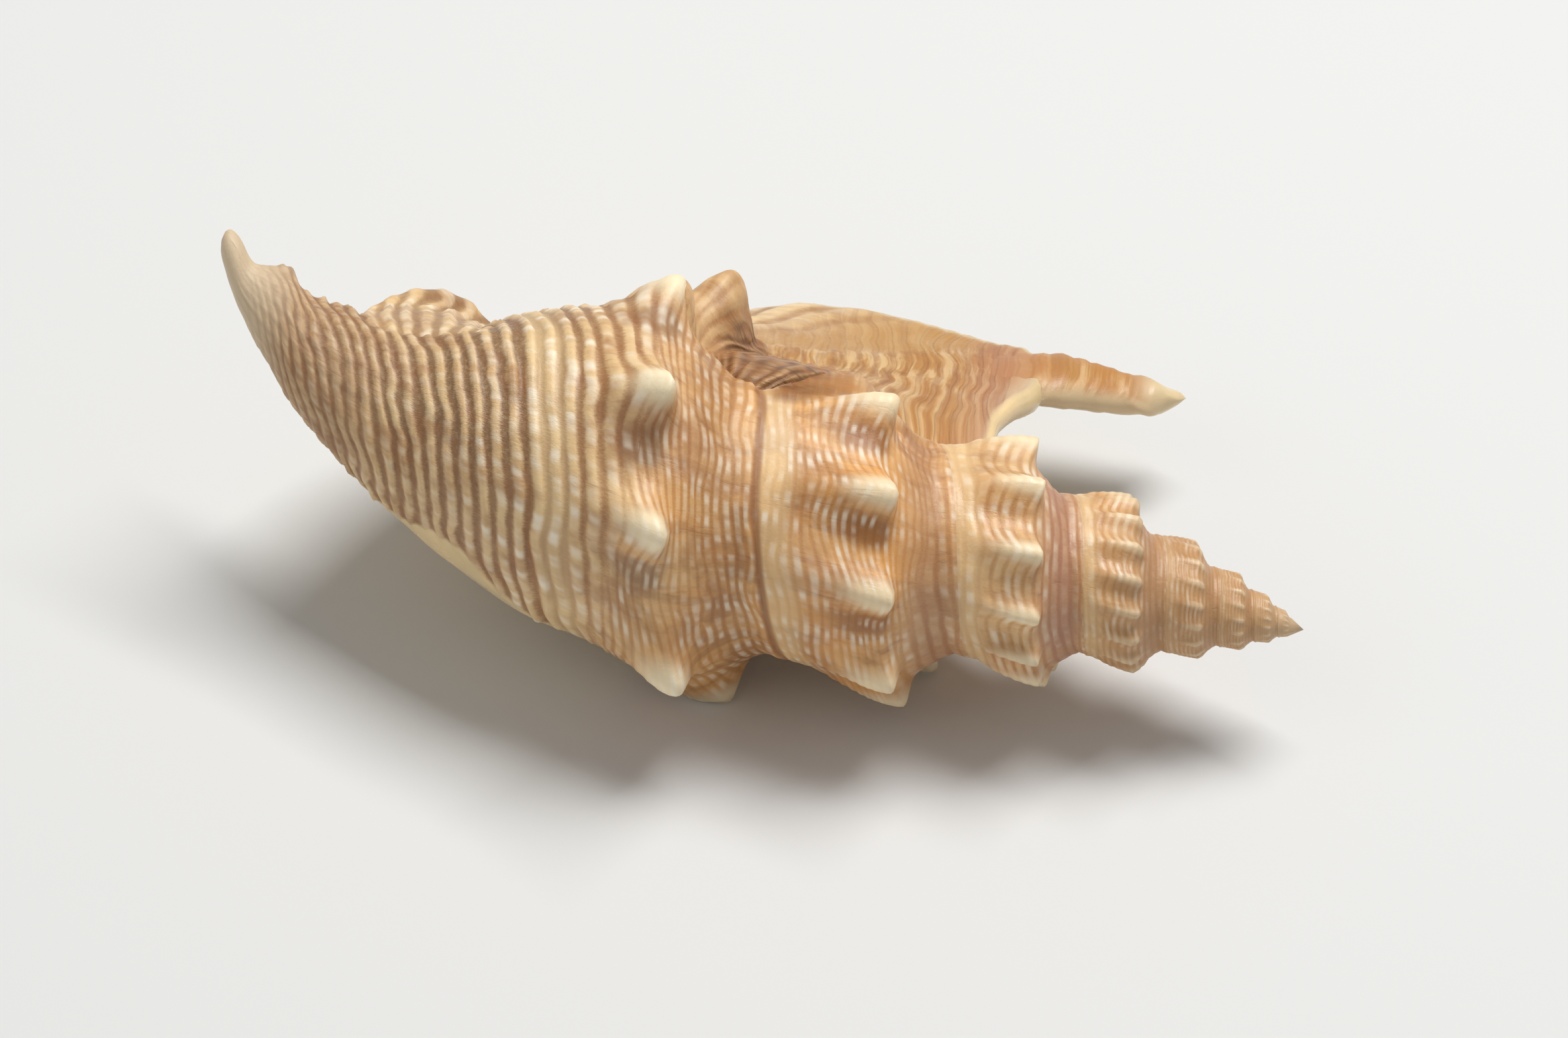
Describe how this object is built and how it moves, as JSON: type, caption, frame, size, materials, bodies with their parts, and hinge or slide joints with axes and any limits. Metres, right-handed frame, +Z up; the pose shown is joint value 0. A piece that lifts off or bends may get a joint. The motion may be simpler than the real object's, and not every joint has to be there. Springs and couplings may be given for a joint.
{
  "type": "conch shell",
  "caption": "Spiral sea shell with knobbed whorls, a tall pointed spire, a wide flared lip drawn out into a rear horn, and a tapering upturned canal.",
  "frame": {"origin": "centre of the bounding box, at the level that the shell rests on", "axes": "+X runs from the canal to the tip of the spire, +Z is up with the shell lying on its lip and the knobs of its underside, and +Y is the side that the flared lip reaches out to"},
  "size_m": [0.136, 0.0798, 0.0498],
  "materials": {
    "shell": "natural chalky shell, cream ribs over brown, satin to glossy at the callus"
  },
  "bodies": {
    "root": {"conch_shell": "shell"}
  },
  "joints": []
}
